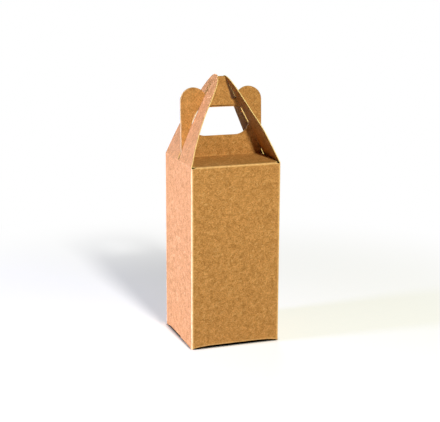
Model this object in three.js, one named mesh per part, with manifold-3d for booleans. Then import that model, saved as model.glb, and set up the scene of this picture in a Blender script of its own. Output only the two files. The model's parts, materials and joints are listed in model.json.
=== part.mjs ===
// Handled gift carton folded from one sheet of kraft card, with two slotted side flaps.
// Millimetres, +Z up, +X right, front face towards -Y, origin at the bottom centre.
import * as THREE from "three";
import { mergeVertices } from "three/addons/utils/BufferGeometryUtils.js";
import Module from "manifold-3d";

const wasm = await Module();
wasm.setup();

// Body
const bodyWidth = 60;
const bodyDepth = 56;
const creaseHeight = 119.6;
const card = 0.5;
const foldRadius = 0.5;
const cornerRadius = 1.0;
const gap = 0.3;

// Top strips and handle
const stripRise = 1.5;
const stripInset = 1.3;
const cornerRelief = 0.7;
const handleInset = 2.5;
const handleGap = 0.7;
const earRadius = 8.7;
const earReach = 46.6;
const lobeReach = 53.2;
const lobeHalfTop = 4.6;
const lobeHalfBase = 6.3;
const lobeCorner = 1.6;
const notchLevel = 40.1;
const holeHalfLength = 19.4;
const holeRadius = 9.4;
const holeCentre = 24.5;

// Side flaps
const flapLength = 59.5;
const flapLean = 24.4;
const flapInset = 0.6;
const flapBridge = 5.5;
const flapTip = 14.5;
const flapTipHold = 9;
const flapTipHalf = 6.4;
const flapNeckHalf = 12.8;
const flapShoulder = 26;
const flapShoulderInset = 5.1;
const slitStart = 0.7;
const slitHalf = 0.4;
const slitTop = 3.2;
const slotFoot = 4.2;

// Glued lap inside the back wall
const lapWidth = 12;
const lapMargin = 3;

// Folded bottom: four flaps in three layers, and a tongue above them
const layerPitch = 0.8;
const bottomLap = 1.5;
const bottomInset = 1.2;
const bottomTaper = 1.0;
const frontBottomReach = 22;
const tongueHalf = 12;
const tongueRamp = 7;
const tongueReach = 42;
const tongueCorner = 3;
const sideBottomFront = 4;
const sideBottomBack = 22;
const sideBottomRamp = 2.5;
const sideBottomInner = 5;
const sideBottomSlant = 2.4;
const sideBottomStep = 6.6;
const backBottomReach = 42;
const backBottomRamp = 4.5;
const notchHalf = 13.2;
const notchDepth = 25;

const curveSteps = 10;
const foldSteps = 5;

const half = card / 2;
const wallX = bodyWidth / 2 - half;
const wallY = bodyDepth / 2 - half;
const panelY = handleGap / 2 + half;
const stripTop = creaseHeight + stripRise;
const hingeClear = half + gap;
const wallTop = creaseHeight - hingeClear;
const foldTangent = foldRadius + half;
const lean = THREE.MathUtils.degToRad(flapLean);

const kraft = { roughness: 0.85, metalness: 0 };
const cartonMaterial = new THREE.MeshStandardMaterial({ color: 0xc08b4a, ...kraft });
const leftFlapMaterial = new THREE.MeshStandardMaterial({ color: 0xc5925a, ...kraft });
const rightFlapMaterial = new THREE.MeshStandardMaterial({ color: 0xb8834a, ...kraft });

function toSolid(geometry, matrix) {
  const bare = geometry.clone();
  bare.deleteAttribute("normal");
  bare.deleteAttribute("uv");
  bare.applyMatrix4(matrix);
  const merged = mergeVertices(bare, 1e-4);
  return new wasm.Manifold(new wasm.Mesh({
    numProp: 3,
    vertProperties: new Float32Array(merged.attributes.position.array),
    triVerts: new Uint32Array(merged.index.array),
  }));
}

function toGeometry(solid) {
  const mesh = solid.getMesh();
  const geometry = new THREE.BufferGeometry();
  geometry.setAttribute("position", new THREE.BufferAttribute(mesh.vertProperties, 3));
  geometry.setIndex(new THREE.BufferAttribute(mesh.triVerts, 1));
  geometry.computeVertexNormals();
  return geometry;
}

// A matrix that sends the outline's x, y and thickness directions to the named axes.
function frame(x, y, z, origin) {
  const matrix = new THREE.Matrix4().makeBasis(x, y, z);
  return matrix.setPosition(origin);
}

const axisX = new THREE.Vector3(1, 0, 0);
const axisY = new THREE.Vector3(0, 1, 0);
const axisZ = new THREE.Vector3(0, 0, 1);

// A solid between two heights with the outline drawn in plan.
function planPrism(shape, from, to) {
  const geometry = new THREE.ExtrudeGeometry(shape, {
    depth: to - from, bevelEnabled: false, curveSegments: curveSteps,
  });
  return toSolid(geometry, frame(axisX, axisY, axisZ, new THREE.Vector3(0, 0, from)));
}

// A solid through the whole depth with the outline drawn in front view.
function frontPrism(shape) {
  const geometry = new THREE.ExtrudeGeometry(shape, {
    depth: bodyDepth, bevelEnabled: false, curveSegments: curveSteps,
  });
  const origin = new THREE.Vector3(0, bodyDepth / 2, 0);
  return toSolid(geometry, frame(axisX, axisZ, axisY.clone().negate(), origin));
}

// The points of a middle line whose corners are rounded by the fold radius.
function foldedLine(corners) {
  const points = [corners[0]];
  for (let i = 1; i < corners.length - 1; i += 1) {
    const back = corners[i - 1].clone().sub(corners[i]).normalize();
    const ahead = corners[i + 1].clone().sub(corners[i]).normalize();
    const halfAngle = Math.acos(THREE.MathUtils.clamp(back.dot(ahead), -1, 1)) / 2;
    const reach = foldRadius / Math.tan(halfAngle);
    const bisector = back.clone().add(ahead).normalize();
    const centre = corners[i].clone().addScaledVector(bisector, foldRadius / Math.sin(halfAngle));
    const start = corners[i].clone().addScaledVector(back, reach).sub(centre);
    const end = corners[i].clone().addScaledVector(ahead, reach).sub(centre);
    const sweep = Math.atan2(start.x * end.y - start.y * end.x, start.dot(end));
    for (let k = 0; k <= foldSteps; k += 1) {
      const origin = new THREE.Vector2();
      points.push(start.clone().rotateAround(origin, (sweep * k) / foldSteps).add(centre));
    }
  }
  points.push(corners[corners.length - 1]);
  return points;
}

// The card's section along a folded middle line.
function cardSection(corners) {
  const line = foldedLine(corners);
  const left = [];
  const right = [];
  line.forEach((point, i) => {
    const before = line[Math.max(i - 1, 0)];
    const after = line[Math.min(i + 1, line.length - 1)];
    const inward = point.clone().sub(before).normalize();
    const outward = after.clone().sub(point).normalize();
    const along = inward.add(outward).normalize();
    const side = new THREE.Vector2(-along.y, along.x);
    const edge = after.clone().sub(i < line.length - 1 ? point : before).normalize();
    const width = half / Math.abs(side.dot(new THREE.Vector2(-edge.y, edge.x)));
    left.push(point.clone().addScaledVector(side, width));
    right.unshift(point.clone().addScaledVector(side, -width));
  });
  return new THREE.Shape([...left, ...right]);
}

// A folded panel: the section is drawn in a vertical plane and runs across the panel's width.
function foldedPanel(corners, width, across, inward) {
  const geometry = new THREE.ExtrudeGeometry(cardSection(corners), {
    depth: width, bevelEnabled: false,
  });
  const origin = across.clone().multiplyScalar(-width / 2);
  return toSolid(geometry, frame(inward, axisZ, across, origin));
}

const mirrorY = new THREE.Matrix4().makeScale(1, -1, 1);

function roundedRectangle(halfX, halfY, radius) {
  const shape = new THREE.Shape();
  shape.moveTo(halfX, halfY - radius);
  shape.absarc(halfX - radius, halfY - radius, radius, 0, Math.PI / 2, false);
  shape.absarc(-halfX + radius, halfY - radius, radius, Math.PI / 2, Math.PI, false);
  shape.absarc(-halfX + radius, -halfY + radius, radius, Math.PI, 1.5 * Math.PI, false);
  shape.absarc(halfX - radius, -halfY + radius, radius, 1.5 * Math.PI, 2 * Math.PI, false);
  shape.closePath();
  return shape;
}

function outline(pairs) {
  return new THREE.Shape(pairs.map(([x, y]) => new THREE.Vector2(x, y)));
}

function walls() {
  const outer = roundedRectangle(bodyWidth / 2, bodyDepth / 2, cornerRadius);
  const inner = roundedRectangle(bodyWidth / 2 - card, bodyDepth / 2 - card, cornerRadius - card);
  const tube = planPrism(outer, foldTangent, wallTop)
    .subtract(planPrism(inner, 0, creaseHeight));
  const lapRight = bodyWidth / 2 - half;
  const lapY = bodyDepth / 2 - card;
  const lap = outline([
    [lapRight - lapWidth, lapY - card],
    [lapRight, lapY - card],
    [lapRight, lapY + half],
    [lapRight - lapWidth, lapY + half],
  ]);
  return tube.add(planPrism(lap, lapMargin, wallTop - lapMargin));
}

// Half of the handle's contour, from the fold up over the ear to the centre lobe.
function handleShape(side) {
  const foot = stripTop;
  const earX = bodyWidth / 2 - handleInset - earRadius;
  const earZ = creaseHeight + earReach - earRadius;
  const notchZ = creaseHeight + notchLevel;
  const lobeZ = creaseHeight + lobeReach;
  const meet = Math.PI - Math.asin((notchZ - earZ) / earRadius);
  const notchRadius = (earX + earRadius * Math.cos(meet) - lobeHalfBase) / 2;
  const notchX = lobeHalfBase + notchRadius;
  const shape = new THREE.Shape();
  shape.moveTo(0, foot - card);
  shape.lineTo(bodyWidth / 2 - handleInset, foot - card);
  shape.absarc(earX, earZ, earRadius, 0, meet, false);
  shape.absarc(notchX, notchZ, notchRadius, 0, Math.PI, true);
  shape.lineTo(lobeHalfTop, lobeZ - lobeCorner);
  shape.absarc(lobeHalfTop - lobeCorner, lobeZ - lobeCorner, lobeCorner, 0, Math.PI / 2, false);
  shape.lineTo(0, lobeZ);
  shape.closePath();
  const solid = frontPrism(shape);
  return side > 0 ? solid : solid.transform(new THREE.Matrix4().makeScale(-1, 1, 1).elements);
}

function handHole() {
  const centre = creaseHeight + holeCentre;
  const reach = holeHalfLength - holeRadius;
  const shape = new THREE.Shape();
  shape.moveTo(reach, centre - holeRadius);
  shape.absarc(reach, centre, holeRadius, -Math.PI / 2, Math.PI / 2, false);
  shape.absarc(-reach, centre, holeRadius, Math.PI / 2, 1.5 * Math.PI, false);
  shape.closePath();
  return frontPrism(shape);
}

// The front wall's crease, its top strip and its handle panel.
function frontTop() {
  const sheet = foldedPanel([
    new THREE.Vector2(-wallY, wallTop - gap),
    new THREE.Vector2(-wallY, creaseHeight),
    new THREE.Vector2(-panelY, stripTop),
    new THREE.Vector2(-panelY, creaseHeight + lobeReach + card),
  ], bodyWidth, axisX, axisY);
  const creaseHalf = bodyWidth / 2 - stripInset;
  const foldHalf = bodyWidth / 2 - handleInset;
  const crease = -bodyDepth / 2;
  const strip = planPrism(outline([
    [-creaseHalf, crease],
    [creaseHalf, crease],
    [creaseHalf, crease + cornerRelief],
    [foldHalf, 0],
    [-foldHalf, 0],
    [-creaseHalf, crease + cornerRelief],
  ]), wallTop - 2 * gap, stripTop + foldRadius);
  const handle = handleShape(1).add(handleShape(-1)).subtract(handHole());
  const upper = planPrism(outline([
    [-bodyWidth / 2, -panelY - half],
    [bodyWidth / 2, -panelY - half],
    [bodyWidth / 2, 0],
    [-bodyWidth / 2, 0],
  ]), stripTop + foldRadius - gap, creaseHeight + lobeReach + card);
  return sheet.intersect(strip.add(handle.intersect(upper)));
}

function bottomHalf(width) {
  return width / 2 - bottomInset;
}

// Front bottom flap, lowest layer, with the tongue that climbs over the back flap.
function frontBottom() {
  const start = -wallY;
  const rampStart = -bodyDepth / 2 + frontBottomReach;
  const tongueZ = 3 * layerPitch + half;
  const sheet = foldedPanel([
    new THREE.Vector2(start, bottomLap),
    new THREE.Vector2(start, half),
    new THREE.Vector2(rampStart, half),
    new THREE.Vector2(rampStart + tongueRamp, tongueZ),
    new THREE.Vector2(-bodyDepth / 2 + tongueReach, tongueZ),
  ], bodyWidth, axisX, axisY);
  const edge = bottomHalf(bodyWidth);
  const front = -bodyDepth / 2;
  const flat = planPrism(outline([
    [-edge, front], [edge, front], [edge, front + bottomInset],
    [edge - bottomTaper, rampStart],
    [-edge + bottomTaper, rampStart],
    [-edge, front + bottomInset],
  ]), 0, bottomLap);
  const tongue = planPrism(roundedRectangle(tongueHalf, tongueReach - bodyDepth / 2, tongueCorner),
    0, tongueZ + card);
  const ahead = planPrism(outline([
    [-tongueHalf, rampStart - gap],
    [tongueHalf, rampStart - gap],
    [tongueHalf, bodyDepth / 2],
    [-tongueHalf, bodyDepth / 2],
  ]), 0, tongueZ + card);
  return sheet.intersect(flat.add(tongue.intersect(ahead)));
}

// Left or right bottom flap, the second layer, cut back where the tongue passes.
function sideBottom(side) {
  const level = layerPitch + half;
  const sheet = foldedPanel([
    new THREE.Vector2(-wallX, bottomLap),
    new THREE.Vector2(-wallX, half),
    new THREE.Vector2(-wallX + sideBottomRamp, level),
    new THREE.Vector2(0, level),
  ], bodyDepth, axisY.clone().negate(), axisX);
  const cut = planPrism(outline([
    [-bodyWidth / 2, sideBottomBack],
    [-bodyWidth / 2, -sideBottomFront],
    [-notchHalf, -sideBottomFront + sideBottomSlant],
    [-notchHalf, sideBottomStep],
    [-sideBottomInner, sideBottomStep + notchHalf / 2],
    [-sideBottomInner, sideBottomBack - bottomInset],
    [-sideBottomInner - bottomInset, sideBottomBack],
  ]), 0, bottomLap + layerPitch);
  const flap = sheet.intersect(cut);
  return side < 0 ? flap : flap.transform(new THREE.Matrix4().makeScale(-1, 1, 1).elements);
}

// Back bottom flap, the top layer, with the notch that lets the tongue through.
function backBottom() {
  const level = 2 * layerPitch + half;
  const sheet = foldedPanel([
    new THREE.Vector2(-wallY, bottomLap),
    new THREE.Vector2(-wallY, half),
    new THREE.Vector2(-wallY + backBottomRamp, level),
    new THREE.Vector2(-bodyDepth / 2 + backBottomReach, level),
  ], bodyWidth, axisX, axisY).transform(mirrorY.elements);
  const edge = bottomHalf(bodyWidth);
  const back = bodyDepth / 2;
  const cut = planPrism(outline([
    [edge, back], [-edge, back],
    [-edge, back - bottomInset],
    [-edge + bottomTaper, back - backBottomReach],
    [-notchHalf, back - backBottomReach],
    [-notchHalf, back - notchDepth],
    [notchHalf, back - notchDepth],
    [notchHalf, back - backBottomReach],
    [edge - bottomTaper, back - backBottomReach],
    [edge, back - bottomInset],
  ]), 0, bottomLap + 2 * layerPitch);
  return sheet.intersect(cut);
}

function carton() {
  const front = frontTop();
  const parts = [
    front.transform(mirrorY.elements),
    frontBottom(),
    sideBottom(-1),
    sideBottom(1),
    backBottom(),
  ];
  return parts.reduce((solid, part) => solid.add(part), walls().add(front));
}

// A side flap in its own plane: x runs along the crease, y away from it.
function flapOutline() {
  const shape = new THREE.Shape();
  const base = bodyDepth / 2 - flapInset;
  const shoulder = base - flapShoulderInset;
  const flapNeck = flapLength - flapTip;
  const taper = (shoulder - flapNeckHalf) / (flapNeck - flapShoulder);
  shape.moveTo(-base, 0);
  shape.lineTo(base, 0);
  shape.quadraticCurveTo(shoulder, flapShoulder, flapNeckHalf, flapNeck);
  shape.bezierCurveTo(
    flapNeckHalf - taper * flapTipHold, flapNeck + flapTipHold,
    flapTipHalf, flapLength,
    0, flapLength,
  );
  shape.bezierCurveTo(
    -flapTipHalf, flapLength,
    -flapNeckHalf + taper * flapTipHold, flapNeck + flapTipHold,
    -flapNeckHalf, flapNeck,
  );
  shape.quadraticCurveTo(-shoulder, flapShoulder, -base, 0);
  const slotHalf = panelY + half + gap;
  const slotEnd = flapLength - flapBridge;
  const slot = new THREE.Path();
  slot.moveTo(slitHalf, slitTop);
  slot.lineTo(slotHalf, slotFoot);
  slot.absarc(0, slotEnd - slotHalf, slotHalf, 0, Math.PI, false);
  slot.lineTo(-slotHalf, slotFoot);
  slot.lineTo(-slitHalf, slitTop);
  slot.absarc(0, slitStart + slitHalf, slitHalf, Math.PI, 2 * Math.PI, false);
  slot.closePath();
  shape.holes.push(slot);
  return shape;
}

// The flap sheet with a rounded lower edge about its fold line, leaning in over the top.
function flap() {
  const sheet = toSolid(
    new THREE.ExtrudeGeometry(flapOutline(), {
      depth: card, bevelEnabled: false, curveSegments: curveSteps,
    }),
    frame(axisY, axisZ, axisX, new THREE.Vector3(-half, 0, 0)),
  );
  const bead = toSolid(
    new THREE.CylinderGeometry(half, half, bodyDepth - 2 * flapInset, 2 * curveSteps),
    new THREE.Matrix4(),
  );
  return sheet.add(bead);
}

function namedMesh(name, geometry, material) {
  const mesh = new THREE.Mesh(geometry, material);
  mesh.name = name;
  return mesh;
}

const giftCarton = new THREE.Group();
giftCarton.add(namedMesh("carton", toGeometry(carton()), cartonMaterial));

const flapGeometry = toGeometry(flap());
const flapSides = [
  { name: "left_flap", side: -1, material: leftFlapMaterial },
  { name: "right_flap", side: 1, material: rightFlapMaterial },
];
for (const { name, side, material } of flapSides) {
  const mesh = namedMesh(name, flapGeometry, material);
  mesh.position.set(side * wallX, 0, creaseHeight);
  mesh.rotation.y = -side * lean;
  giftCarton.add(mesh);
}

export default giftCarton;
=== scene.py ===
import json
import math

import bmesh
import bpy
from bpy.props import FloatProperty, FloatVectorProperty, PointerProperty
from bpy.types import Operator, Panel, PropertyGroup
from mathutils import Matrix, Vector
from mathutils.geometry import interpolate_bezier
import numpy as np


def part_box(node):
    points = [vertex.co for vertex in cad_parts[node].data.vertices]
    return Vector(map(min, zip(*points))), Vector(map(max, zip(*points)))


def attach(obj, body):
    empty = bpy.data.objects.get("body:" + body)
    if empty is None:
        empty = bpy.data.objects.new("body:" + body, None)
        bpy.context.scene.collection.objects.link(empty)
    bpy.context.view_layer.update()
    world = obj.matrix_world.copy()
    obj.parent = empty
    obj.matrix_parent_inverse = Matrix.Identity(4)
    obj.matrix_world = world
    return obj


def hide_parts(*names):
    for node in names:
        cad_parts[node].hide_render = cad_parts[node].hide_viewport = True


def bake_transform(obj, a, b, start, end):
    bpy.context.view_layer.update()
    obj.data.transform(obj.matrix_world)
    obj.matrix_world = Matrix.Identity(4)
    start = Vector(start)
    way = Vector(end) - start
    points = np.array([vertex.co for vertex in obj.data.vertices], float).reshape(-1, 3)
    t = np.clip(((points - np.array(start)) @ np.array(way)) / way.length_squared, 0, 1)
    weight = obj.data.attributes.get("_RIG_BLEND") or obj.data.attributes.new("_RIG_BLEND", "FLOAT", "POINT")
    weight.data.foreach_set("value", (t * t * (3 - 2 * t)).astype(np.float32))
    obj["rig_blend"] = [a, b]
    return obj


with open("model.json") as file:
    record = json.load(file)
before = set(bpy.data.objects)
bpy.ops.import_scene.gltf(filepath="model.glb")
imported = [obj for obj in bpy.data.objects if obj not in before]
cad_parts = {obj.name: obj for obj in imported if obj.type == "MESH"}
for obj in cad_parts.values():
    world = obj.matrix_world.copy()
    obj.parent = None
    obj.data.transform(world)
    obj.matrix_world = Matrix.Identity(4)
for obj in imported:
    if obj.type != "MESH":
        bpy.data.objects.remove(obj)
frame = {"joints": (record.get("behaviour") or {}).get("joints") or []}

bl_info = {
    "name": "Handled Gift Carton",
    "version": (1, 0, 0),
    "blender": (4, 5, 0),
    "location": "View3D > Sidebar > Carton",
    "description": "Folds a kraft card gift carton from its flat blank and lights it",
    "category": "Object",
}

MM = 0.001

# How near two points are when they close an outline, and how near a point is when a cut or a
# fold runs through it, or when it is merged with the next one
CLOSED = 1e-7
ON_CUT = 1e-7
ON_LINE = 1e-6
MERGED = 2e-6

# Faces that meet at more than this show a sharp edge
SHARP_EDGE = math.radians(50)
QUARTER = math.pi / 2

# The carton's own sizes, read from the frame
BODY_LOW, BODY_HIGH = (Vector(corner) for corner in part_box("carton"))
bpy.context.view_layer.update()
HINGES = {joint["child"]: Vector(joint["pos_m"]) for joint in frame["joints"]}
CREASE_Z = HINGES["right_flap"].z
WALL_X = HINGES["right_flap"].x
CARD = 2 * (BODY_HIGH.x - WALL_X)
WALL_Y = BODY_HIGH.y - CARD / 2
LOBE_Z = BODY_HIGH.z

# The camera that the photograph was taken with, in pixels of its 440 by 422 frame
IMAGE_WIDTH = 440
FOCAL_PIXELS = 1183.5
SENSOR_MM = 36.0
CAMERA_PLACE = Vector((-0.25394, -0.71422, 0.26707))
CAMERA_AZIMUTH = math.radians(-19.49)
CAMERA_ELEVATION = math.radians(13.60)
CAMERA_ROLL = math.radians(0.22)

BLACK = (0.0, 0.0, 0.0)
WHITE = (1.0, 1.0, 1.0)

# The floor's half width, where its shading begins to fade, and where it is plain white
FLOOR_SIZE = 3.0
FLOOR_CLEAR = 0.13
FLOOR_FADE = 0.34

# Light that the floor's shading is lifted by, warm to even out the side lamp's tint
FLOOR_GLOW = (0.39, 0.395, 0.315)

# The painted contact shadow on the floor under the carton: how near the card has to be, and how open the
# floor is to the sky where the painted shade is darkest and where it ends
CONTACT_REACH = 5 * MM
CONTACT_SAMPLES = 12
CONTACT_DARK = 0.38
CONTACT_CLEAR = 0.76

# Each lamp's azimuth and elevation in degrees, its distance and its size in metres
KEY_PLACE = (2, 34, 1.2, 0.14)
SIDE_PLACE = (-90, -4.3, 0.62, 0.075)
BACK_PLACE = (165, 32, 1.2, 0.5)
KEY_COLOUR = (1.0, 0.99, 0.95)
SIDE_COLOUR = (0.41, 0.43, 1.0)


class CartonCard(PropertyGroup):
    """Sizes of the card blank and the looks of its board."""

    fold_radius: FloatProperty(
        name="Fold Radius", description="Radius of the folds at the middle of the card",
        default=0.5 * MM, unit="LENGTH")
    corner_radius: FloatProperty(
        name="Corner Radius", description="Radius of the upright folds at the middle of the card",
        default=0.6 * MM, unit="LENGTH")
    mesh_pitch: FloatProperty(
        name="Mesh Pitch", description="Spacing of the lines that divide the blank",
        default=3.0 * MM, unit="LENGTH")
    flap_lean: FloatProperty(
        name="Flap Lean", description="How far the closed side flaps lean inward",
        default=math.radians(24.4), unit="ROTATION")
    flap_curl: FloatProperty(
        name="Flap Curl", description="Share of the flaps' hand-folded curl that is kept",
        default=1.0, min=0.0, max=1.5)
    kraft_colour: FloatVectorProperty(
        name="Kraft", description="Colour of the board's faces",
        default=(0.522, 0.252, 0.066), subtype="COLOR")
    cut_colour: FloatVectorProperty(
        name="Cut Edge", description="Colour of the board where it is cut",
        default=(0.95, 0.67, 0.22), subtype="COLOR")
    # The worn crease colour stands partly for stretched fibres and partly for a painted highlight on the
    # folds
    worn_and_highlight_colour: FloatVectorProperty(
        name="Worn Crease", description="Colour of the stretched fibres on a crease",
        default=(0.93, 0.58, 0.21), subtype="COLOR")


class CartonStudio(PropertyGroup):
    """The floor and the lamps."""

    key_power: FloatProperty(
        name="Key Lamp", description="Power of the small lamp in front of the carton",
        default=11.9, unit="POWER")
    side_power: FloatProperty(
        name="Side Lamp", description="Power of the wide lamp on the left",
        default=12.9, unit="POWER")
    back_power: FloatProperty(
        name="Back Lamp", description="Power of the wide lamp behind the carton",
        default=3.0, unit="POWER")
    sky_level: FloatProperty(
        name="Sky", description="Strength of the plain light from all round",
        default=0.02)
    floor_colour: FloatVectorProperty(
        name="Floor", description="Colour of the floor", default=(0.9, 0.9, 0.9), subtype="COLOR")


def add_object(name, data):
    """Makes an object of a mesh, lamp or camera and puts it in the scene."""
    made = bpy.data.objects.new(name, data)
    bpy.context.collection.objects.link(made)
    return made


class Pen:
    """Draws a flat outline on the blank, one stroke after another."""

    def __init__(self, bm, x, y):
        self.bm = bm
        self.path = [bm.verts.new((x, y, 0))]

    def line(self, *points):
        """Straight on to each point in turn."""
        for x, y in points:
            made = bmesh.ops.extrude_vert_indiv(self.bm, verts=[self.path[-1]])["verts"]
            bmesh.ops.translate(self.bm, verts=made, vec=Vector((x, y, 0)) - made[0].co)
            self.path += made
        return self

    def arc(self, centre, degrees, steps):
        """Round a centre from the last point."""
        known = len(self.bm.verts)
        bmesh.ops.spin(self.bm, geom=[self.path[-1]], cent=(*centre, 0), axis=(0, 0, 1),
                       angle=math.radians(degrees), steps=steps)
        self.bm.verts.ensure_lookup_table()
        self.path += self.bm.verts[known:]
        return self

    def curve(self, hold, brace, end, steps):
        """A smooth curve to its end, drawn towards two holds on the way."""
        start = self.path[-1].co
        points = interpolate_bezier(start, (*hold, 0), (*brace, 0), (*end, 0), steps + 1)
        return self.line(*[(point.x, point.y) for point in points[1:]])

    def fill(self, mirrored=False, at=0.0):
        """Closes the outline, mirrors it about its own middle, and puts it in place."""
        path = self.path
        if (path[0].co - path[-1].co).length < CLOSED:
            bmesh.ops.weld_verts(self.bm, targetmap={path[-1]: path[0]})
            path = path[:-1]
        face = self.bm.faces.new(path)
        geometry = [face, *face.edges, *face.verts]
        verts = list(face.verts)
        if mirrored:
            copy = bmesh.ops.mirror(self.bm, geom=geometry, axis="X", merge_dist=-1)["geom"]
            verts += [item for item in copy if isinstance(item, bmesh.types.BMVert)]
        bmesh.ops.translate(self.bm, verts=list(set(verts)), vec=(at, 0, 0))


class FoldPlan:
    """Places a panel's folds on the flat blank, from its folded middle line."""

    def __init__(self, corners, radius, origin=0.0, way=1):
        self.origin = origin
        self.way = way
        self.starts = [0.0]
        self.folds = []
        points = [Vector(corner) for corner in corners]
        flat = 0.0
        saved = 0.0
        for i in range(1, len(points) - 1):
            before = points[i] - points[i - 1]
            after = points[i + 1] - points[i]
            turn = math.atan2(before.cross(after), before.dot(after))
            tangent = radius * math.tan(abs(turn) / 2)
            length = radius * abs(turn)
            flat += before.length
            self.folds.append((self.flat(flat - tangent - saved), length, turn))
            saved += 2 * tangent - length
            self.starts.append(flat - saved)

    def flat(self, distance):
        """Where a distance along the panel lies on the blank."""
        return self.origin + self.way * distance

    def at(self, run, distance):
        """Where a point lies on the blank that is so far past a folded corner."""
        return self.flat(self.starts[run] + distance)


def arc_lines(start, length, way, steps):
    """Evenly spaced lines on the blank from one end of a fold's arc to the other."""
    return [start + way * length * i / steps for i in range(steps + 1)]


def divide(bm, xs, ys):
    """Cuts the whole blank along upright and level lines."""
    for places, normal in ((xs, (1, 0, 0)), (ys, (0, 1, 0))):
        for place in sorted(places):
            geometry = bm.verts[:] + bm.edges[:] + bm.faces[:]
            bmesh.ops.bisect_plane(bm, geom=geometry, dist=ON_CUT,
                                   plane_co=Vector(normal) * place, plane_no=normal)


def spread(low, high, pitch):
    """Even places from low to high, about a pitch apart."""
    count = max(1, round((high - low) / pitch))
    return [low + (high - low) * i / count for i in range(count + 1)]


def roll(bm, flat, chosen, lines, way, turn, axis):
    """Rolls what lies past each line about it, so that a fold is a small arc."""
    index = 0 if axis == "Y" else 1
    near = [v for v in bm.verts if chosen(flat[v])]
    step = turn / (len(lines) - 1)
    for i, line in enumerate(lines):
        share = 0.5 if i in (0, len(lines) - 1) else 1.0
        pivot = min(near, key=lambda v: abs(flat[v][index] - line))
        past = [v for v in near if way * (flat[v][index] - line) > ON_LINE]
        bmesh.ops.rotate(bm, verts=past, cent=pivot.co, matrix=Matrix.Rotation(step * share, 3, axis))


def roll_plan(bm, flat, plan, low, high, limit):
    """Makes every fold of a panel that lies between two upright lines of the blank."""
    for start, length, turn in plan.folds:
        roll(bm, flat, lambda p: low < p[0] < high and plan.way * (p[1] - limit) > -ON_LINE,
             arc_lines(start, length, plan.way, FOLD_STEPS), plan.way, turn, "X")


def stand_up(bm, painted_contact_shade):
    """Turns the folded sheet upright and moves it out to its wall."""
    bmesh.ops.rotate(bm, verts=bm.verts[:], cent=(0, 0, 0), matrix=Matrix.Rotation(QUARTER, 3, "X"))
    bmesh.ops.translate(bm, verts=bm.verts[:], vec=(0, -painted_contact_shade, 0))


def anywhere(point):
    """Chooses the whole sheet, where a fold isn't kept to one panel."""
    return True


def new_sheet():
    """An empty mesh that keeps each point's crease and its place on the blank."""
    bm = bmesh.new()
    bm.verts.layers.float.new("crease")
    bm.verts.layers.float_vector.new("blank")
    return bm


def face_up(bm):
    """Merges the points that meet and turns every face the same way."""
    bmesh.ops.remove_doubles(bm, verts=bm.verts[:], dist=MERGED)
    bm.normal_update()
    bmesh.ops.reverse_faces(bm, faces=[f for f in bm.faces if f.normal.z < 0])


def mark_creases(bm, flat, upright, level, reach):
    """Writes how near each point is to a crease, and where it lies on the blank."""
    crease = bm.verts.layers.float["crease"]
    blank = bm.verts.layers.float_vector["blank"]
    for v in bm.verts:
        x, y = flat[v][0], flat[v][1]
        wear_and_highlight = 0.0
        for low, high, strength in upright:
            away = max(low - x, x - high, 0.0)
            wear_and_highlight = max(wear_and_highlight, strength * math.exp(-(away / reach) ** 2))
        for low, high, left, right, strength in level:
            if left <= x <= right:
                away = max(low - y, y - high, 0.0)
                wear_and_highlight = max(wear_and_highlight, strength * math.exp(-(away / reach) ** 2))
        v[crease] = wear_and_highlight
        v[blank] = flat[v]


def card_object(bm, name, body_material, edge_material):
    """Gives the folded middle surface its thickness and makes it an object."""
    sheet = bpy.data.meshes.new(name + "_middle")
    bm.to_mesh(sheet)
    bm.free()
    sheet.materials.append(body_material)
    sheet.materials.append(edge_material)
    source = add_object(name + "_middle", sheet)
    thick = source.modifiers.new("Card", "SOLIDIFY")
    thick.thickness = CARD
    thick.offset = 0.0
    thick.use_even_offset = True
    thick.material_offset_rim = 1
    bpy.context.view_layer.update()
    evaluated = source.evaluated_get(bpy.context.evaluated_depsgraph_get())
    mesh = bpy.data.meshes.new_from_object(evaluated)
    mesh.name = name
    bpy.data.objects.remove(source)
    bpy.data.meshes.remove(sheet)
    for polygon in mesh.polygons:
        polygon.use_smooth = True
    mesh.set_sharp_from_angle(angle=SHARP_EDGE)
    return add_object(name, mesh)


def node(tree, kind, place, **inputs):
    """Adds a shader node and sets its named inputs to values or links."""
    made = tree.nodes.new(kind)
    made.location = place
    for key, value in inputs.items():
        socket = made.inputs[key.replace("_", " ")]
        if isinstance(value, bpy.types.NodeSocket):
            tree.links.new(value, socket)
        else:
            socket.default_value = value
    return made


def ramp(tree, place, source, stops):
    """Adds a colour ramp with these stops and gives back its colour."""
    made = tree.nodes.new("ShaderNodeValToRGB")
    made.location = place
    tree.links.new(source, made.inputs["Fac"])
    elements = made.color_ramp.elements
    while len(elements) < len(stops):
        elements.new(0.5)
    for element, (position, colour) in zip(elements, stops):
        element.position = position
        element.color = (*colour, 1)
    return made.outputs["Color"]


def shade(colour, factor):
    """A darker or paler tone of a colour."""
    return tuple(min(1.0, channel * factor) for channel in colour)


def blend_colours(tree, place, factor, first, second, mode="MIX"):
    """Mixes two colours, each a plain one or another node's output."""
    made = tree.nodes.new("ShaderNodeMix")
    made.data_type = "RGBA"
    made.blend_type = mode
    made.location = place
    for socket, value in ((0, factor), (6, first), (7, second)):
        if isinstance(value, bpy.types.NodeSocket):
            tree.links.new(value, made.inputs[socket])
        elif socket == 0:
            made.inputs[socket].default_value = value
        else:
            made.inputs[socket].default_value = (*value, 1)
    return made.outputs[2]


# How fine the board's grain is, in features per metre, and how much the fibres are drawn out
CLOUD_SCALE = 75.0
BLOTCH_SCALE = 290.0
PULP_SCALE = 1150.0
FIBRE_SCALE = 860.0
STRAND_SCALE = 980.0
WEAR_AND_HIGHLIGHT_SCALE = 700.0
CUT_SCALE = 1800.0
FIBRE_TURN = math.radians(38)
FIBRE_DRAW = (2.2, 1.0, 1.0)
STRAND_TURN = math.radians(-47)
STRAND_DRAW = (2.4, 1.0, 1.0)
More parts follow.
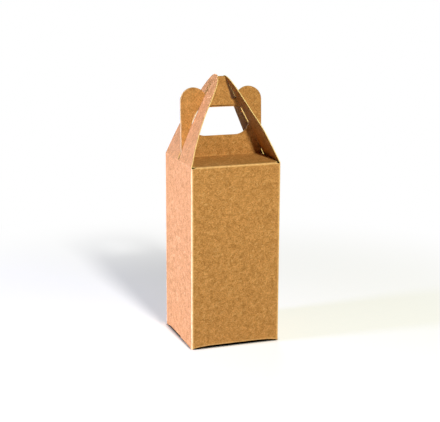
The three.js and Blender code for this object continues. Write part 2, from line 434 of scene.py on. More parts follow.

# Colours of the board's fibres, and how far they and the pale crease paint cover it, which is partly wear
# and partly a painted highlight
PALE_FIBRE = (0.70, 0.41, 0.13)
DARK_FIBRE = (0.27, 0.11, 0.02)
FIBRE_COVER = (0.6, 0.6, 0.6)
WEAR_AND_HIGHLIGHT_COVER = (0.45, 0.45, 0.45)

# How dark and how pale the pulp and the cut edge get, and the tone of the mottling
PULP_DARK, PULP_PALE = 0.66, 1.36
CUT_DARK, CUT_PALE = 0.8, 1.1
CLOUD_DARK = (0.94, 0.93, 0.90)
BLOTCH_DARK = (0.76, 0.74, 0.68)
BLOTCH_PLAIN = (0.98, 0.98, 0.97)
BLOTCH_PALE = (1.17, 1.20, 1.26)

# The board's finish
PULP_RELIEF = 0.06 * MM
CUT_RELIEF = 0.05 * MM
BOARD_ROUGHNESS = 0.7
BOARD_GLOSS = 0.04
CUT_ROUGHNESS = 0.8


def empty_material(name):
    """A new material with nothing in its node tree."""
    material = bpy.data.materials.new(name)
    material.use_nodes = True
    material.node_tree.nodes.clear()
    return material, material.node_tree


def send_out(tree, kind, shader):
    """Links a shader to the tree's output."""
    output = tree.nodes.new(kind)
    output.location = (400, 0)
    tree.links.new(shader, output.inputs["Surface"])


def kraft_material(name, colour, worn_and_highlight):
    """Kraft board: mottled pulp, pale and dark fibres, and pale creases that are partly stretched fibres and
    partly a painted highlight.
    """
    material, tree = empty_material(name)
    blank = tree.nodes.new("ShaderNodeAttribute")
    blank.attribute_name = "blank"
    blank.location = (-1600, 0)
    place = blank.outputs["Vector"]
    cloud = node(tree, "ShaderNodeTexNoise", (-1200, 650), Vector=place, Scale=CLOUD_SCALE,
                 Detail=3.0)
    blotch = node(tree, "ShaderNodeTexNoise", (-1200, 400), Vector=place, Scale=BLOTCH_SCALE,
                  Detail=4.0, Roughness=0.62, Distortion=0.8)
    pulp = node(tree, "ShaderNodeTexNoise", (-1200, 150), Vector=place, Scale=PULP_SCALE,
                Detail=3.0, Roughness=0.7)
    along = node(tree, "ShaderNodeMapping", (-1400, -100), Vector=place,
                 Rotation=(0, 0, FIBRE_TURN), Scale=FIBRE_DRAW)
    across = node(tree, "ShaderNodeMapping", (-1400, -400), Vector=place,
                  Rotation=(0, 0, STRAND_TURN), Scale=STRAND_DRAW)
    for mapping in (along, across):
        mapping.vector_type = "TEXTURE"
    fibre = node(tree, "ShaderNodeTexNoise", (-1200, -100), Vector=along.outputs[0],
                 Scale=FIBRE_SCALE, Detail=2.0, Distortion=1.2)
    strand = node(tree, "ShaderNodeTexNoise", (-1200, -400), Vector=across.outputs[0],
                  Scale=STRAND_SCALE, Detail=2.0, Distortion=1.4)
    base = ramp(tree, (-900, 150), pulp.outputs["Fac"], (
        (0.3, shade(colour, PULP_DARK)), (0.5, colour), (0.72, shade(colour, PULP_PALE))))
    drift = ramp(tree, (-900, 650), cloud.outputs["Fac"], ((0.3, CLOUD_DARK), (0.7, WHITE)))
    mottle = ramp(tree, (-900, 400), blotch.outputs["Fac"], (
        (0.32, BLOTCH_DARK), (0.5, BLOTCH_PLAIN), (0.68, BLOTCH_PALE)))
    pale = ramp(tree, (-900, -100), fibre.outputs["Fac"], ((0.56, BLACK), (0.70, FIBRE_COVER)))
    dark = ramp(tree, (-900, -400), strand.outputs["Fac"], ((0.57, BLACK), (0.70, FIBRE_COVER)))
    tone = blend_colours(tree, (-700, 350), 1.0, base, drift, "MULTIPLY")
    tone = blend_colours(tree, (-600, 250), 1.0, tone, mottle, "MULTIPLY")
    tone = blend_colours(tree, (-450, 150), pale, tone, PALE_FIBRE)
    tone = blend_colours(tree, (-300, 50), dark, tone, DARK_FIBRE)
    # Pale crease paint: partly stretched fibres, partly a painted highlight where the folds catch the light
    crease = tree.nodes.new("ShaderNodeAttribute")
    crease.attribute_name = "crease"
    crease.location = (-900, -700)
    patch = node(tree, "ShaderNodeTexNoise", (-1200, -700), Vector=place, Scale=WEAR_AND_HIGHLIGHT_SCALE, Detail=3.0)
    patchy = ramp(tree, (-900, -900), patch.outputs["Fac"], ((0.2, WEAR_AND_HIGHLIGHT_COVER), (0.6, WHITE)))
    wear_and_highlight = blend_colours(tree, (-600, -700), 1.0, crease.outputs["Color"], patchy, "MULTIPLY")
    tone = blend_colours(tree, (-150, 0), wear_and_highlight, tone, worn_and_highlight)
    relief = node(tree, "ShaderNodeBump", (-150, -400), Height=pulp.outputs["Fac"], Strength=0.35,
                  Distance=PULP_RELIEF)
    surface = node(tree, "ShaderNodeBsdfPrincipled", (100, 0), Base_Color=tone,
                   Roughness=BOARD_ROUGHNESS, Specular_IOR_Level=BOARD_GLOSS, Normal=relief.outputs[0])
    send_out(tree, "ShaderNodeOutputMaterial", surface.outputs[0])
    return material


def cut_material(name, colour):
    """The cut edge of the board: pale layered pulp."""
    material, tree = empty_material(name)
    place = tree.nodes.new("ShaderNodeTexCoord")
    place.location = (-900, 0)
    grain = node(tree, "ShaderNodeTexNoise", (-600, 0), Vector=place.outputs["Object"],
                 Scale=CUT_SCALE, Detail=3.0)
    tone = ramp(tree, (-300, 0), grain.outputs["Fac"], (
        (0.3, shade(colour, CUT_DARK)), (0.7, shade(colour, CUT_PALE))))
    relief = node(tree, "ShaderNodeBump", (-300, -300), Height=grain.outputs["Fac"],
                  Strength=0.3, Distance=CUT_RELIEF)
    surface = node(tree, "ShaderNodeBsdfPrincipled", (0, 0), Base_Color=tone,
                   Roughness=CUT_ROUGHNESS, Normal=relief.outputs[0])
    send_out(tree, "ShaderNodeOutputMaterial", surface.outputs[0])
    return material


def board_materials(card):
    """The card's face and its cut edge, made once and shared by the pieces."""
    known = bpy.data.materials.get("kraft_board")
    if known:
        return known, bpy.data.materials["cut_board"]
    return (kraft_material("kraft_board", card.kraft_colour, card.worn_and_highlight_colour),
            cut_material("cut_board", card.cut_colour))


# Outline of the top strips and the handle, at the folded size
STRIP_RISE = 1.5 * MM
PANEL_Y = 0.6 * MM
STRIP_HALF = 28.7 * MM
HANDLE_HALF = 27.5 * MM

# The nick beside each top strip: its size, where it begins, and how the strip widens again past it
NICK = 1.7 * MM
NICK_START = -0.3 * MM
NICK_FULL = 0.2 * MM
NICK_RUN = 0.6 * MM
NICK_REST = 0.1 * MM

# The ears, the notches and the lobe between them, and the steps of their arcs
EAR_RADIUS = 8.7 * MM
EAR_TOP = 46.6 * MM
NOTCH_LEVEL = 40.1 * MM
LOBE_BASE = 6.3 * MM
LOBE_HALF = 3.6 * MM
LOBE_CORNER = 1.6 * MM
EAR_STEPS = 18
NOTCH_STEPS = 10
LOBE_STEPS = 5

# The hand hole, and how far it is off the middle in each handle panel
HOLE_CENTRE = 24.85 * MM
HOLE_RADIUS = 9.75 * MM
HOLE_REACH = 10.25 * MM
FRONT_HOLE_SHIFT = (-0.8 * MM, 0.0)
BACK_HOLE_SHIFT = (-0.2 * MM, -1.3 * MM)
HOLE_STEPS = 24

# The handle leans to the left by this share of its height, and its right ear hangs a little lower
HANDLE_SWAY = 0.0133
EAR_DROP = 0.6 * MM

# Outline of the side flaps: heights over the crease and half widths, and the curves' holds as both
SEAM_Z = 117.0 * MM
FLAP_LENGTH = 60.2 * MM
FLAP_NECK = 45.0 * MM
FLAP_NECK_HALF = 12.8 * MM
FLAP_TIP_HALF = 7.0 * MM
SIDE_HOLD = (24.0 * MM, 17.3 * MM)
SIDE_BRACE = (19.1 * MM, 32.3 * MM)
TIP_HOLD = (9.0 * MM, 54.5 * MM)
CURVE_STEPS = 14
FLAP_PITCH = 2 * MM

# The slot in each side flap, the slit below it and the narrower part at its end
SLOT_END = 54.0 * MM
SLOT_HALF = 0.98 * MM
SLOT_FOOT = 4.4 * MM
SLIT_TOP = 3.4 * MM
SLIT_START = 0.5 * MM
FOOT_HALF = {"left_flap": 0.95 * MM, "right_flap": 0.9 * MM}
END_HALF = {"left_flap": 0.22 * MM, "right_flap": 0.5 * MM}
END_START = 43.5 * MM
END_TAPER = 2.5 * MM

# How far each flap stands off its plane, outward in mm, at its back edge, middle and front edge,
# one row for every step up from the crease. Towards the tip the two edges close in by the taper
CURL_STEP = 12.0 * MM
CURL_TAPER = 0.6
CURL = {
    "left_flap": ((0, 0, 0), (0.5, 0.9, 1.6), (0.9, 1.1, 2.1), (0.7, 0.9, 1.4), (-0.1, 0.5, -0.9),
                  (-0.9, -0.7, -2.1)),
    "right_flap": ((0, 0, 0), (0.0, -0.5, 0.1), (-0.5, -1.0, 0.0), (-1.3, -1.7, -1.0),
                   (-1.9, -2.5, -1.6), (-2.7, -3.4, -2.6)),
}

# The walls and the glued lap, with the play that keeps the lap inside the back wall and the
# cuts at the lap's ends
WALL_TOP = CREASE_Z - 0.55 * MM
WALL_FOOT = 1.4 * MM
BACK_PLAY = 0.6 * MM
LAP_PLAY = 0.03 * MM
LAP_WIDTH = 12.0 * MM
LAP_STEP = 2 * MM
LAP_SLANT = 7 * MM

# The walls' lower edges where no bottom flap hangs on them, and the gaps beside the flaps
SKIRT_FOOT = 0.05 * MM
SKIRT_GAP = 0.12 * MM

# How far the bottom's front edge and its other edges arch clear of the floor, and how deep
# into the bottom and up the walls that is felt
FRONT_LIFT = 1.5 * MM
SIDE_LIFT = 0.6 * MM
LIFT_NEAR = 7.0 * MM
LIFT_FAR = 15.0 * MM
ARCH_POWER = 6

# The locking bottom: its layers, and how each flap runs from the wall to the layer that it is in
BOTTOM_START = 10.0 * MM
BOTTOM_RADIUS = 0.6 * MM
FLOOR_GAP = 0.05 * MM
LAYER = 0.8 * MM
RAMP_START = 21.75 * MM
RAMP_RUN = 7.0 * MM
SIDE_RAMP = 2.5 * MM
SIDE_REACH = 25 * MM
BACK_RAMP = 4.5 * MM
BACK_REACH = 41.75 * MM

# Outlines of the bottom flaps: the front one with its tongue, the back one with its notch
BOTTOM_HALF = 28.8 * MM
SHOULDER = 1.2 * MM
BOTTOM_TAPER = 1 * MM
TONGUE_HALF = 12.0 * MM
TONGUE_RUN = 13.0 * MM
TONGUE_CORNER = 3 * MM
TONGUE_STEPS = 6
NOTCH_HALF = 13.2 * MM
NOTCH_DEPTH = 24.75 * MM

# A side bottom flap, as the place along its wall and the reach into the carton
SIDE_FRONT = -4.0 * MM
SIDE_BACK = 22.0 * MM
SIDE_OUTLINE = (
    (-1.6 * MM, 14 * MM), (6.6 * MM, 14 * MM), (13.2 * MM, 22 * MM), (20.8 * MM, 22 * MM),
    (SIDE_BACK, 20.8 * MM),
)

# Steps in the arc of a fold, and how far from it the blank is divided more finely
FOLD_STEPS = 5
FLAP_FOLD_STEPS = 2
BODY_ROWS = (0.2 * MM, 0.45 * MM, 0.9 * MM)
FLAP_ROWS = (0.3 * MM, 0.6 * MM, 1.0 * MM)

# How strongly each crease is painted pale, partly as wear and partly as a painted highlight, and how far
# from it this reaches
CORNER_WEAR_AND_HIGHLIGHT = 0.85
STRIP_WEAR_AND_HIGHLIGHT = 0.75
HANDLE_WEAR_AND_HIGHLIGHT = 0.1
BOTTOM_WEAR_AND_HIGHLIGHT = 0.5
FLAP_WEAR_AND_HIGHLIGHT = 0.05
BODY_WEAR_AND_HIGHLIGHT_REACH = 0.28 * MM
FLAP_WEAR_AND_HIGHLIGHT_REACH = 0.4 * MM

# Half the height of the band in which a side flap bends at its crease
CREASE_BEND = 0.5 * MM


class Blank:
    """Where the walls and their folds lie on the flat blank, from left to right."""

    def __init__(self, card):
        corner = card.corner_radius
        self.arc = corner * math.pi / 2
        front = WALL_X - corner
        side = 2 * (WALL_Y - corner)
        lap_side = side - CARD - LAP_PLAY
        self.front = front
        self.left_fold = -front - self.arc
        self.left_back = self.left_fold - side
        self.back_fold = self.left_back - self.arc
        self.back_middle = self.back_fold - front
        self.back_edge = self.back_fold - 2 * front - BACK_PLAY
        self.right_fold = front + self.arc
        self.right_back = self.right_fold + lap_side
        self.lap_fold = self.right_back + self.arc
        self.lap_edge = self.lap_fold + LAP_WIDTH
        self.side_half = side / 2
        self.side_middle = self.right_fold + side / 2
        self.upright = [
            (self.left_fold, -front), (front, self.right_fold),
            (self.back_fold, self.left_back), (self.right_back, self.lap_fold),
        ]
        near, far = self.side_middle + SIDE_FRONT, self.side_middle + SIDE_BACK
        self.flap_spans = {
            "back": (self.back_middle - BOTTOM_HALF, self.back_middle + BOTTOM_HALF),
            "left": (-far, -near), "front": (-BOTTOM_HALF, BOTTOM_HALF), "right": (near, far),
        }


def top_plan(card):
    """Folded middle line of a top strip with its handle panel."""
    return FoldPlan([
        (-WALL_Y, 0), (-WALL_Y, CREASE_Z), (-PANEL_Y, CREASE_Z + STRIP_RISE), (-PANEL_Y, LOBE_Z),
    ], card.fold_radius)


def bottom_plans():
    """Folded middle lines of the front, side and back bottom flaps."""
    low = CARD / 2 + FLOOR_GAP
    high = low + 3 * LAYER
    ramp_end = RAMP_START + RAMP_RUN
    front = [(RAMP_START, low), (ramp_end, high), (ramp_end + TONGUE_RUN, high)]
    side = [(SIDE_RAMP, low + LAYER), (SIDE_REACH, low + LAYER)]
    back = [(BACK_RAMP, low + 2 * LAYER), (BACK_REACH, low + 2 * LAYER)]
    return [FoldPlan([(0, BOTTOM_START), (0, low), *run], BOTTOM_RADIUS, BOTTOM_START, -1)
            for run in (front, side, back)]


def draw_top(bm, plan, middle, shift):
    """A top strip with its handle panel and hand hole, one half at a time where they differ."""
    def up(height):
        return plan.at(2, height - STRIP_RISE)

    hole_up = up(HOLE_CENTRE) + shift[1]
    lobe_up = up(LOBE_Z - CREASE_Z)
    halves = (1,) if shift[0] == 0 else (1, -1)
    ear_x = HANDLE_HALF - EAR_RADIUS
    ear_z = EAR_TOP - EAR_RADIUS
    meet = 180 - math.degrees(math.asin((NOTCH_LEVEL - ear_z) / EAR_RADIUS))
    notch = (ear_x + EAR_RADIUS * math.cos(math.radians(meet)) - LOBE_BASE) / 2
    for side in halves:
        reach = HOLE_REACH + side * shift[0]
        first = len(bm.verts)
        pen = Pen(bm, 0, WALL_TOP)
        pen.line((STRIP_HALF, WALL_TOP), (STRIP_HALF, plan.at(1, NICK_START)),
                 (STRIP_HALF - NICK, plan.at(1, NICK_FULL)), (STRIP_HALF - NICK, plan.at(1, NICK)),
                 (STRIP_HALF - NICK_REST, plan.at(1, NICK + NICK_RUN)),
                 (HANDLE_HALF, plan.at(1, WALL_Y - PANEL_Y)), (HANDLE_HALF, up(ear_z)))
        pen.arc((ear_x, up(ear_z)), meet, EAR_STEPS)
        pen.arc((LOBE_BASE + notch, up(NOTCH_LEVEL)), -180, NOTCH_STEPS)
        pen.line((LOBE_HALF, lobe_up - LOBE_CORNER))
        pen.arc((LOBE_HALF - LOBE_CORNER, lobe_up - LOBE_CORNER), 90, LOBE_STEPS)
        pen.line((0, lobe_up), (0, hole_up + HOLE_RADIUS), (reach, hole_up + HOLE_RADIUS))
        pen.arc((reach, hole_up), -180, HOLE_STEPS)
        pen.line((0, hole_up - HOLE_RADIUS))
        pen.fill(mirrored=len(halves) == 1, at=middle)
        if side < 0:
            bm.verts.ensure_lookup_table()
            made = bm.verts[first:]
            bmesh.ops.scale(bm, verts=made, vec=(-1, 1, 1),
                            space=Matrix.Translation((-middle, 0, 0)))


def draw_bottom(bm, plans, blank):
    """The front bottom flap, the back one and the two at the sides."""
    front, side, back = plans
    tongue_end = front.at(3, TONGUE_RUN - TONGUE_CORNER)
    pen = Pen(bm, 0, WALL_FOOT)
    pen.line((BOTTOM_HALF, WALL_FOOT), (BOTTOM_HALF, front.at(1, SHOULDER)),
             (BOTTOM_HALF - BOTTOM_TAPER, front.at(1, RAMP_START)),
             (TONGUE_HALF, front.at(1, RAMP_START)), (TONGUE_HALF, tongue_end))
    pen.arc((TONGUE_HALF - TONGUE_CORNER, tongue_end), -90, TONGUE_STEPS)
    pen.line((0, front.at(3, TONGUE_RUN)))
    pen.fill(mirrored=True)

    back_end = back.at(2, BACK_REACH - BACK_RAMP)
    notch_end = back.at(2, NOTCH_DEPTH - BACK_RAMP)
    pen = Pen(bm, 0, WALL_FOOT)
    pen.line((BOTTOM_HALF, WALL_FOOT), (BOTTOM_HALF, back.at(1, SHOULDER)),
             (BOTTOM_HALF - BOTTOM_TAPER, back_end), (NOTCH_HALF, back_end),
             (NOTCH_HALF, notch_end), (0, notch_end))
    pen.fill(mirrored=True, at=blank.back_middle)

    outline = [(SIDE_FRONT, WALL_FOOT), (SIDE_FRONT, side.at(1, SHOULDER))]
    outline += [(along, side.at(2, reach)) for along, reach in SIDE_OUTLINE]
    for way in (-1, 1):
        pen = Pen(bm, way * (blank.side_middle + SIDE_BACK), WALL_FOOT)
        pen.line(*[(way * (blank.side_middle + along), level) for along, level in outline])
        pen.fill()


def draw_walls(bm, blank):
    """The four walls and the lap, and the short skirts between the bottom flaps."""
    walls = (
        (blank.back_edge, blank.left_back, WALL_TOP), (blank.left_back, blank.left_fold, SEAM_Z),
        (blank.left_fold, blank.right_fold, WALL_TOP), (blank.right_fold, blank.right_back, SEAM_Z),
        (blank.right_back, blank.lap_fold, WALL_TOP),
    )
    for left, right, top in walls:
        Pen(bm, left, WALL_FOOT).line((right, WALL_FOOT), (right, top), (left, top)).fill()
    flaps = [blank.flap_spans[name] for name in ("back", "left", "front", "right")]
    edges = [edge for span in flaps for edge in span]
    ends = [blank.back_edge - SKIRT_GAP, *edges, blank.lap_fold + SKIRT_GAP]
    for i in range(0, len(ends), 2):
        left, right = ends[i] + SKIRT_GAP, ends[i + 1] - SKIRT_GAP
        skirt = Pen(bm, left, SKIRT_FOOT)
        skirt.line((right, SKIRT_FOOT), (right, WALL_FOOT), (left, WALL_FOOT)).fill()
    lap = Pen(bm, blank.lap_fold, WALL_FOOT + LAP_STEP)
    lap.line((blank.lap_edge, WALL_FOOT + LAP_SLANT), (blank.lap_edge, WALL_TOP - LAP_SLANT),
             (blank.lap_fold, WALL_TOP - LAP_STEP)).fill()


def divide_body(bm, card, blank, top, bottoms):
    """Divides the blank evenly, and more finely at its folds."""
    back = bottoms[-1]
    xs = set(spread(blank.back_edge, blank.lap_edge, card.mesh_pitch))
    ys = set(spread(back.at(2, BACK_REACH), top.at(2, LOBE_Z - CREASE_Z), card.mesh_pitch))
    for low, high in blank.upright:
        xs.update(arc_lines(low, high - low, 1, FOLD_STEPS))
        xs.update(low - away for away in BODY_ROWS)
        xs.update(high + away for away in BODY_ROWS)
    for middle in (0.0, blank.back_middle):
        xs.update((middle - STRIP_HALF, middle + STRIP_HALF))
    for span in blank.flap_spans.values():
        xs.update(span)
    for plan in (top, *bottoms):
        for start, length, _ in plan.folds:
            ys.update(arc_lines(start, length, plan.way, FOLD_STEPS))
            ys.update(start - plan.way * away for away in BODY_ROWS)
            ys.update(start + plan.way * (length + away) for away in BODY_ROWS)
    ys.update((SEAM_Z, WALL_TOP, WALL_FOOT))
    divide(bm, xs, ys)
    face_up(bm)


def mark_wear_and_highlight(bm, flat, blank, top, bottoms):
    """Marks the pale creases of the walls, the top strips and the bottom, partly wear and partly a painted
    highlight.
    """
    front, _, back = bottoms
    upright = [(low, high, CORNER_WEAR_AND_HIGHLIGHT) for low, high in blank.upright]
    level = []
    for middle in (0.0, blank.back_middle):
        for index, (start, length, _) in enumerate(top.folds):
            strength = STRIP_WEAR_AND_HIGHLIGHT if index == 0 else HANDLE_WEAR_AND_HIGHLIGHT
            level.append((start, start + length, middle - STRIP_HALF, middle + STRIP_HALF, strength))
    for plan, middle in ((front, 0.0), (back, blank.back_middle)):
        start, length, _ = plan.folds[0]
        level.append((start - length, start, middle - BOTTOM_HALF, middle + BOTTOM_HALF, BOTTOM_WEAR_AND_HIGHLIGHT))
    mark_creases(bm, flat, upright, level, BODY_WEAR_AND_HIGHLIGHT_REACH)


def sway_handle(bm, blank, top):
    """Leans both top panels to the carton's left and lowers the handle's right ear."""
    handle_foot = top.at(2, 0.0)
    ear = top.at(2, EAR_TOP - STRIP_RISE) - handle_foot
    for v in bm.verts:
        if v.co.y > CREASE_Z:
            in_front = v.co.x > blank.left_fold
            across = v.co.x if in_front else blank.back_middle - v.co.x
            v.co.x -= (1 if in_front else -1) * HANDLE_SWAY * (v.co.y - CREASE_Z)
            if across > 0 and v.co.y > handle_foot:
                v.co.y -= EAR_DROP * across / HANDLE_HALF * (v.co.y - handle_foot) / ear


def fold_body(card):
    """The blank without its side flaps, folded up into the carton."""
    blank = Blank(card)
    top = top_plan(card)
    bottoms = bottom_plans()
    bm = new_sheet()
    draw_walls(bm, blank)
    draw_top(bm, top, 0.0, FRONT_HOLE_SHIFT)
    draw_top(bm, top, blank.back_middle, BACK_HOLE_SHIFT)
    draw_bottom(bm, bottoms, blank)
    divide_body(bm, card, blank, top, bottoms)
    flat = {v: v.co.copy() for v in bm.verts}
    mark_wear_and_highlight(bm, flat, blank, top, bottoms)
    sway_handle(bm, blank, top)

    edge = blank.front + blank.arc / 2
    for middle in (0.0, blank.back_middle):
        roll_plan(bm, flat, top, middle - edge, middle + edge, WALL_TOP)
    front, side, back = bottoms
    for name, plan in (("front", front), ("back", back), ("left", side), ("right", side)):
        low, high = blank.flap_spans[name]
        roll_plan(bm, flat, plan, low - SKIRT_GAP / 2, high + SKIRT_GAP / 2, WALL_FOOT)
    turns = (
        (-blank.front, -1), (blank.left_back, -1), (blank.front, 1), (blank.right_back, 1),
    )
    for start, way in turns:
        lines = arc_lines(start, blank.arc, way, FOLD_STEPS)
        roll(bm, flat, anywhere, lines, way, way * QUARTER, "Y")
    stand_up(bm, WALL_Y)
    for v in bm.verts:
        v.co.z += edge_lift(v.co)
    return bm


def edge_lift(place):
    """How far the bottom's edges arch clear of the floor between the corners."""
    over, back = place.x / WALL_X, place.y / WALL_Y
    sides = (
        (FRONT_LIFT, over, place.y + WALL_Y), (SIDE_LIFT, over, WALL_Y - place.y),
        (SIDE_LIFT, back, place.x + WALL_X), (SIDE_LIFT, back, WALL_X - place.x),
    )
    lift = 0.0
    for height, along, painted_contact_shade in sides:
        arch = max(0.0, 1 - along ** ARCH_POWER)
        part = min(1.0, max(0.0, (LIFT_FAR - painted_contact_shade) / (LIFT_FAR - LIFT_NEAR)))
        lift = max(lift, height * arch * part * part * (3 - 2 * part))
    return lift * max(0.0, 1 - place.z / LIFT_FAR)


def curl(rows, height):
    """A smooth run through the rows at their even spacing."""
    place = max(0.0, height / CURL_STEP)
    index = min(int(place), len(rows) - 2)
    part = place - index
    near = [Vector(rows[min(max(index + step, 0), len(rows) - 1)]) for step in (-1, 0, 1, 2)]
    before, low, high, after = near
    slope_low, slope_high = (high - before) / 2, (after - low) / 2
    return (low * (1 + 2 * part) * (1 - part) ** 2 + high * (3 - 2 * part) * part ** 2
            + slope_low * part * (1 - part) ** 2 - slope_high * (1 - part) * part ** 2)


def past(x, rise):
    """A point of a side flap on the blank, from its height over the crease."""
    return x, CREASE_Z + rise


def fold_flap(card, name, way):
    """A side flap with the top of its wall, so that the crease bends in one piece."""
    blank = Blank(card)
    half = blank.side_half
    bm = new_sheet()
    pen = Pen(bm, 0, SEAM_Z)
    pen.line((half, SEAM_Z), (half, CREASE_Z))
    pen.curve(past(*SIDE_HOLD), past(*SIDE_BRACE), past(FLAP_NECK_HALF, FLAP_NECK), CURVE_STEPS)
    pen.curve(past(*TIP_HOLD), past(FLAP_TIP_HALF, FLAP_LENGTH), past(0, FLAP_LENGTH), CURVE_STEPS)
    foot, end = FOOT_HALF[name], END_HALF[name]
    pen.line(past(0, SLOT_END), past(end, SLOT_END - end), past(end, END_START),
             past(SLOT_HALF, END_START - END_TAPER), past(SLOT_HALF, SLOT_FOOT),
             past(foot, SLIT_TOP), past(foot, SLIT_START), past(0, SLIT_START))
    pen.fill(mirrored=True)

    fold = card.fold_radius * card.flap_lean
    start = CREASE_Z - fold / 2
    xs = set(spread(-half, half, FLAP_PITCH))
    ys = set(spread(SEAM_Z, CREASE_Z + FLAP_LENGTH, FLAP_PITCH))
    ys.update(arc_lines(start, fold, 1, FLAP_FOLD_STEPS))
    ys.update(start - away for away in FLAP_ROWS)
    ys.update(start + fold + away for away in FLAP_ROWS)
    divide(bm, xs, ys)
    face_up(bm)

    flat = {v: v.co.copy() for v in bm.verts}
    middle = way * blank.side_middle
    for v in bm.verts:
        along = max(0.0, flat[v].y - CREASE_Z)
        width = half * (1 - CURL_TAPER * along / FLAP_LENGTH)
        across = max(-1.0, min(1.0, -way * flat[v].x / width))
        back, mid, front = curl(CURL[name], along)
        edge = front if across > 0 else back
        v.co.z += card.flap_curl * MM * (mid + (edge - mid) * across ** 2)
    # The crease's pale paint, partly wear and partly a painted highlight
    crease = [(start, start + fold, -half, half, FLAP_WEAR_AND_HIGHLIGHT)]
    mark_creases(bm, flat, [], crease, FLAP_WEAR_AND_HIGHLIGHT_REACH)
    blank_layer = bm.verts.layers.float_vector["blank"]
    for v in bm.verts:
        v[blank_layer] = flat[v] + Vector((middle, 0, 0))

    roll(bm, flat, anywhere, arc_lines(start, fold, 1, FLAP_FOLD_STEPS), 1, -card.flap_lean, "X")
    stand_up(bm, WALL_X)
    turn = Matrix.Rotation(way * QUARTER, 3, "Z")
    bmesh.ops.rotate(bm, verts=bm.verts[:], cent=(0, 0, 0), matrix=turn)
    return bm


class CARTON_OT_body(Operator):
    """Folds the walls, top strips, handle and bottom from the blank"""

    bl_idname = "carton.body"
    bl_label = "Fold Body"

    def execute(self, context):
        card = context.scene.carton_card
        bm = fold_body(card)
        piece = card_object(bm, "carton_body", *board_materials(card))
        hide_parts("carton")
        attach(piece, "carton")
        return {"FINISHED"}


class CARTON_OT_side_flaps(Operator):
    """Folds the two side flaps, which bend at their creases"""

    bl_idname = "carton.side_flaps"
    bl_label = "Fold Side Flaps"

    def execute(self, context):
        card = context.scene.carton_card
        bend = Vector((0, 0, CREASE_BEND))
        sides = ((-1, "left_flap", "kraft_card_left"), (1, "right_flap", "kraft_card_right"))
        for way, name, slot in sides:
            bm = fold_flap(card, name, way)
            piece = card_object(bm, name + "_card", *board_materials(card))
            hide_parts(name)
            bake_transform(piece, "carton", name, start=HINGES[name] - bend, end=HINGES[name] + bend)
        return {"FINISHED"}


def add_lamp(name, place, power, colour):
    """An area lamp round the carton: azimuth 0 is in front of it, 90 on its right."""
    azimuth, elevation, distance, size = place
    light = bpy.data.lights.new(name, "AREA")
    light.shape = "DISK"
    light.size = size
    light.energy = power
    light.color = colour
    lamp = add_object(name, light)
    turn, tilt = math.radians(azimuth), math.radians(elevation)
    target = Vector((0, 0, LOBE_Z / 2))
    way = Vector((math.sin(turn) * math.cos(tilt), -math.cos(turn) * math.cos(tilt), math.sin(tilt)))
    lamp.location = target + way * distance
    lamp.rotation_euler = (target - lamp.location).to_track_quat("-Z", "Y").to_euler()


def mix_shaders(tree, factor, first, second):
    """Goes from the first shader to the second as the factor rises."""
    mix = tree.nodes.new("ShaderNodeMixShader")
    for socket, source in zip(mix.inputs, (factor, first, second)):
        tree.links.new(source, socket)
    return mix.outputs[0]


def white_to_camera(tree, plain, white):
    """Shows white to the camera and in gloss, and lights the object with the plain shader."""
    path = tree.nodes.new("ShaderNodeLightPath")
    seen = path.outputs["Is Camera Ray"]
    for ray in ("Is Glossy Ray", "Is Transmission Ray"):
        either = node(tree, "ShaderNodeMath", (-300, 300))
        either.operation = "MAXIMUM"
        tree.links.new(seen, either.inputs[0])
        tree.links.new(path.outputs[ray], either.inputs[1])
        seen = either.outputs[0]
    return mix_shaders(tree, seen, plain, white)


def build_world(studio):
    """Weak plain light from all round, which the camera sees as white."""
    world = bpy.data.worlds.new("studio")
    bpy.context.scene.world = world
    world.use_nodes = True
    tree = world.node_tree
    tree.nodes.clear()
    plain = node(tree, "ShaderNodeBackground", (-400, 0), Color=(*WHITE, 1),
                 Strength=studio.sky_level)
    white = node(tree, "ShaderNodeBackground", (-400, -200), Color=(*WHITE, 1), Strength=1.0)
    send_out(tree, "ShaderNodeOutputWorld", white_to_camera(tree, plain.outputs[0], white.outputs[0]))


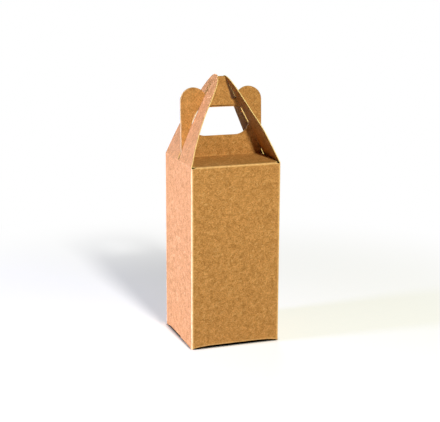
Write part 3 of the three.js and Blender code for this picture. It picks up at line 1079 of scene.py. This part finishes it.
def floor_material(studio):
    """A plain floor that fades to white far away and has painted shade right under the carton."""
    material, tree = empty_material("studio_floor")
    plain = node(tree, "ShaderNodeBsdfDiffuse", (-600, 0), Color=(*studio.floor_colour, 1))
    # Painted contact shadow: the floor's colour and its lift are darkened where the carton closes it in
    hollow = node(tree, "ShaderNodeAmbientOcclusion", (-1300, -200), Distance=CONTACT_REACH)
    hollow.samples = CONTACT_SAMPLES
    painted_contact_shade = ramp(tree, (-1100, -200), hollow.outputs["AO"], (
        (CONTACT_DARK, BLACK), (CONTACT_CLEAR, WHITE)))
    contact = blend_colours(tree, (-800, -100), 1.0, painted_contact_shade, studio.floor_colour, "MULTIPLY")
    shaded = node(tree, "ShaderNodeBsdfDiffuse", (-600, -100), Color=contact)
    warm = blend_colours(tree, (-800, -300), 1.0, painted_contact_shade, FLOOR_GLOW, "MULTIPLY")
    glow = node(tree, "ShaderNodeEmission", (-600, -200), Color=warm, Strength=1.0)
    white = node(tree, "ShaderNodeEmission", (-600, -400), Color=(*WHITE, 1), Strength=1.0)
    lifted = tree.nodes.new("ShaderNodeAddShader")
    tree.links.new(shaded.outputs[0], lifted.inputs[0])
    tree.links.new(glow.outputs[0], lifted.inputs[1])
    place = tree.nodes.new("ShaderNodeTexCoord")
    away = node(tree, "ShaderNodeVectorMath", (-900, 300))
    away.operation = "LENGTH"
    tree.links.new(place.outputs["Object"], away.inputs[0])
    fade = tree.nodes.new("ShaderNodeMapRange")
    fade.interpolation_type = "SMOOTHSTEP"
    fade.inputs["From Min"].default_value = FLOOR_CLEAR
    fade.inputs["From Max"].default_value = FLOOR_FADE
    tree.links.new(away.outputs["Value"], fade.inputs["Value"])
    shown = mix_shaders(tree, fade.outputs["Result"], lifted.outputs[0], white.outputs[0])
    send_out(tree, "ShaderNodeOutputMaterial", white_to_camera(tree, plain.outputs[0], shown))
    return material


def build_floor(studio):
    """The floor, which belongs to the stage and not to the carton."""
    bm = bmesh.new()
    bmesh.ops.create_grid(bm, x_segments=4, y_segments=4, size=FLOOR_SIZE)
    bmesh.ops.translate(bm, verts=bm.verts[:], vec=(0, 0, BODY_LOW.z))
    mesh = bpy.data.meshes.new("studio_floor")
    bm.to_mesh(mesh)
    bm.free()
    mesh.materials.append(floor_material(studio))
    floor = add_object("studio_floor", mesh)


def build_camera():
    """The camera as it was fitted to the carton's corners."""
    data = bpy.data.cameras.new("photo_camera")
    data.sensor_width = SENSOR_MM
    data.lens = FOCAL_PIXELS / IMAGE_WIDTH * SENSOR_MM
    camera = add_object("photo_camera", data)
    away = Vector((
        math.sin(CAMERA_AZIMUTH) * math.cos(CAMERA_ELEVATION),
        -math.cos(CAMERA_AZIMUTH) * math.cos(CAMERA_ELEVATION),
        math.sin(CAMERA_ELEVATION),
    ))
    right = Vector((0, 0, 1)).cross(away).normalized()
    up = away.cross(right)
    level_right = right.copy()
    right = right * math.cos(CAMERA_ROLL) + up * math.sin(CAMERA_ROLL)
    up = up * math.cos(CAMERA_ROLL) - level_right * math.sin(CAMERA_ROLL)
    turn = Matrix((right, up, away)).transposed().to_4x4()
    camera.matrix_world = Matrix.Translation(CAMERA_PLACE) @ turn
    bpy.context.scene.camera = camera


class CARTON_OT_studio(Operator):
    """Makes the floor, the lamps and the camera"""

    bl_idname = "carton.studio"
    bl_label = "Set Up Studio"

    def execute(self, context):
        studio = context.scene.carton_studio
        context.scene.view_settings.view_transform = "Standard"
        build_world(studio)
        build_floor(studio)
        build_camera()
        add_lamp("key_lamp", KEY_PLACE, studio.key_power, KEY_COLOUR)
        add_lamp("side_lamp", SIDE_PLACE, studio.side_power, SIDE_COLOUR)
        add_lamp("back_lamp", BACK_PLACE, studio.back_power, WHITE)
        return {"FINISHED"}


class CARTON_PT_sidebar(Panel):
    """Lists the steps that make the carton and its studio"""

    bl_idname = "CARTON_PT_sidebar"
    bl_label = "Handled Gift Carton"
    bl_space_type = "VIEW_3D"
    bl_region_type = "UI"
    bl_category = "Carton"

    def draw(self, context):
        layout = self.layout
        for group in (context.scene.carton_card, context.scene.carton_studio):
            column = layout.column(align=True)
            for name in group.bl_rna.properties.keys():
                if name not in {"rna_type", "name"}:
                    column.prop(group, name)
        for step in STEPS:
            layout.operator(step.bl_idname)


STEPS = (CARTON_OT_body, CARTON_OT_side_flaps, CARTON_OT_studio)
CLASSES = (CartonCard, CartonStudio, *STEPS, CARTON_PT_sidebar)


def register():
    for cls in CLASSES:
        bpy.utils.register_class(cls)
    bpy.types.Scene.carton_card = PointerProperty(type=CartonCard)
    bpy.types.Scene.carton_studio = PointerProperty(type=CartonStudio)


def unregister():
    del bpy.types.Scene.carton_studio
    del bpy.types.Scene.carton_card
    for cls in reversed(CLASSES):
        bpy.utils.unregister_class(cls)


def main():
    register()
    bpy.ops.carton.body()
    bpy.ops.carton.side_flaps()
    bpy.ops.carton.studio()


if __name__ == "__main__":
    main()
